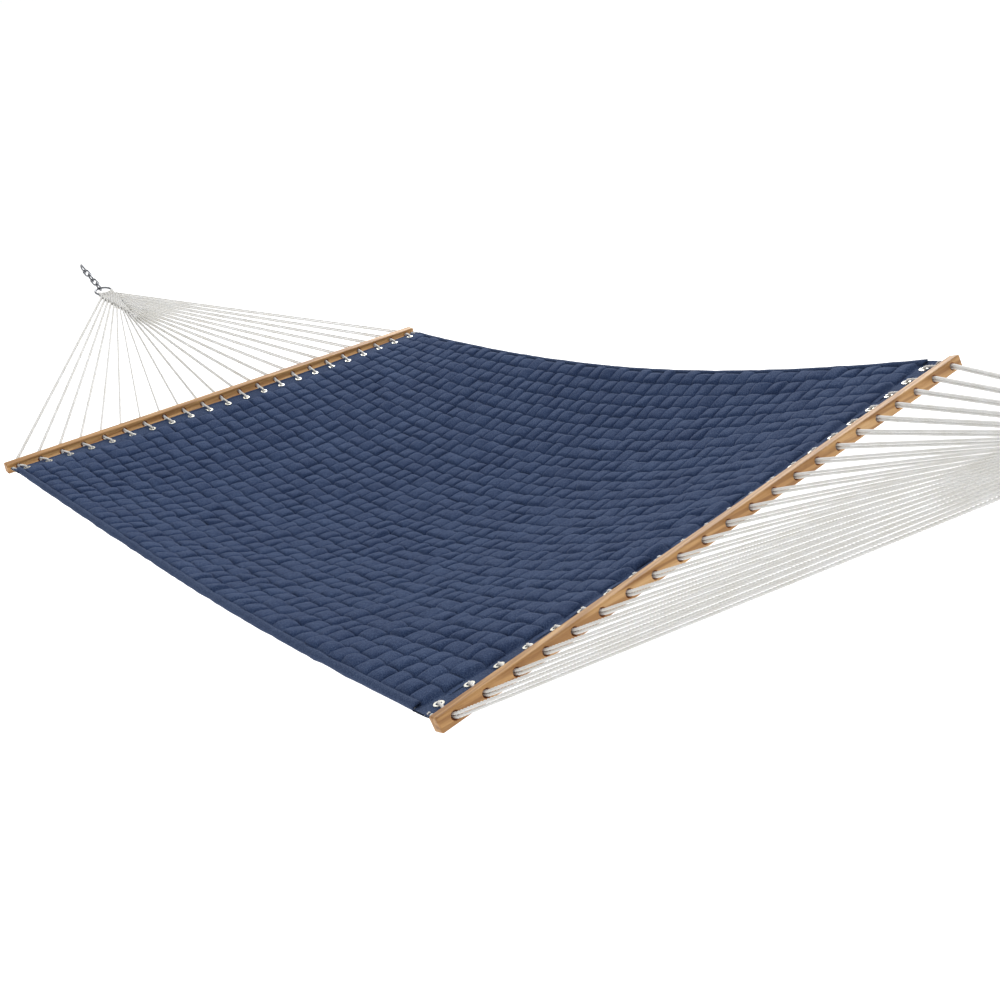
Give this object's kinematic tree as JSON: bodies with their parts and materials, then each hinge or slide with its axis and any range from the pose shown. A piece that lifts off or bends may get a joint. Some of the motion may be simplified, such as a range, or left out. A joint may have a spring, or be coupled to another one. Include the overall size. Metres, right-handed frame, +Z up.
{
  "type": "hammock",
  "caption": "Padded woven hammock with wooden spreader bars, gathered rope harnesses, rings and short hanging chains.",
  "frame": {"origin": "centre of the bounding box of the hung hammock", "axes": "+X along the hammock from the left end to the right end, +Y across it to the far side, +Z up"},
  "size_m": [3.989, 1.3958, 0.5949],
  "materials": {
    "bed_fabric": "woven padded polyester, navy",
    "binding_fabric": "rolled fabric binding, navy",
    "rope": "twisted off-white polyester rope",
    "oak": "light oak, satin varnish",
    "grommet": "pale plated brass eyelet",
    "zinc": "grey zinc-plated steel"
  },
  "bodies": {
    "end_links": {"end_link_left": "zinc", "end_link_right": "zinc"},
    "middle": {"bed_middle": "bed_fabric", "side_hem_middle_near": "binding_fabric", "side_hem_middle_far": "binding_fabric", "chain_link_1_right": "zinc", "chain_link_2_right": "zinc", "chain_link_3_right": "zinc", "chain_link_4_right": "zinc", "chain_link_1_left": "zinc", "chain_link_2_left": "zinc", "chain_link_3_left": "zinc", "chain_link_4_left": "zinc"},
    "right_end": {"ring_right": "zinc", "clew_right": "rope", "harness_ropes_right": "rope", "end_hem_right": "bed_fabric", "grommets_right": "grommet", "side_hem_end_right_near": "binding_fabric", "side_hem_end_right_far": "binding_fabric", "side_cord_right_near": "rope", "side_cord_right_far": "rope"},
    "right_bar": {"spreader_bar_right": "oak"},
    "right_outer": {"bed_outer_right": "bed_fabric", "side_hem_outer_right_near": "binding_fabric", "side_hem_outer_right_far": "binding_fabric"},
    "right_inner": {"bed_inner_right": "bed_fabric", "side_hem_inner_right_near": "binding_fabric", "side_hem_inner_right_far": "binding_fabric"},
    "left_end": {"ring_left": "zinc", "clew_left": "rope", "harness_ropes_left": "rope", "end_hem_left": "bed_fabric", "grommets_left": "grommet", "side_hem_end_left_near": "binding_fabric", "side_hem_end_left_far": "binding_fabric", "side_cord_left_near": "rope", "side_cord_left_far": "rope"},
    "left_bar": {"spreader_bar_left": "oak"},
    "left_outer": {"bed_outer_left": "bed_fabric", "side_hem_outer_left_near": "binding_fabric", "side_hem_outer_left_far": "binding_fabric"},
    "left_inner": {"bed_inner_left": "bed_fabric", "side_hem_inner_left_near": "binding_fabric", "side_hem_inner_left_far": "binding_fabric"}
  },
  "joints": [
    {"name": "swing", "type": "hinge", "parent": "end_links", "child": "middle", "pos_m": [0, 0, 0.27334], "axis": [1, 0, 0], "range_deg": [-22, 22]},
    {"name": "right_end_turn", "type": "hinge", "parent": "middle", "child": "right_end", "pos_m": [1.045, 0, -0.0855], "axis": [0.9403, 0, 0.3404], "range_deg": [-8, 6]},
    {"name": "right_outer_turn", "type": "hinge", "parent": "middle", "child": "right_outer", "pos_m": [1.045, 0, -0.0855], "axis": [0.9403, 0, 0.3404], "range_deg": [-5.4, 4.1]},
    {"name": "right_inner_turn", "type": "hinge", "parent": "middle", "child": "right_inner", "pos_m": [1.045, 0, -0.0855], "axis": [0.9403, 0, 0.3404], "range_deg": [-2.7, 2.1]},
    {"name": "right_bar_roll", "type": "hinge", "parent": "right_end", "child": "right_bar", "pos_m": [1.045, 0, -0.0855], "axis": [-0.0208, 0.9981, 0.0574], "range_deg": [-6, 6]},
    {"name": "left_end_turn", "type": "hinge", "parent": "middle", "child": "left_end", "pos_m": [-1.045, 0, -0.0855], "axis": [-0.9403, 0, 0.3404], "range_deg": [-8, 6]},
    {"name": "left_outer_turn", "type": "hinge", "parent": "middle", "child": "left_outer", "pos_m": [-1.045, 0, -0.0855], "axis": [-0.9403, 0, 0.3404], "range_deg": [-5.4, 4.1]},
    {"name": "left_inner_turn", "type": "hinge", "parent": "middle", "child": "left_inner", "pos_m": [-1.045, 0, -0.0855], "axis": [-0.9403, 0, 0.3404], "range_deg": [-2.7, 2.1]},
    {"name": "left_bar_roll", "type": "hinge", "parent": "left_end", "child": "left_bar", "pos_m": [-1.045, 0, -0.0855], "axis": [0.0208, -0.9981, 0.0574], "range_deg": [-6, 6]}
  ],
  "couplings": [
    {"joint": "right_outer_turn", "follows": "right_end_turn", "ratio": 0.66667},
    {"joint": "right_inner_turn", "follows": "right_end_turn", "ratio": 0.33333},
    {"joint": "left_outer_turn", "follows": "left_end_turn", "ratio": 0.66667},
    {"joint": "left_inner_turn", "follows": "left_end_turn", "ratio": 0.33333}
  ]
}
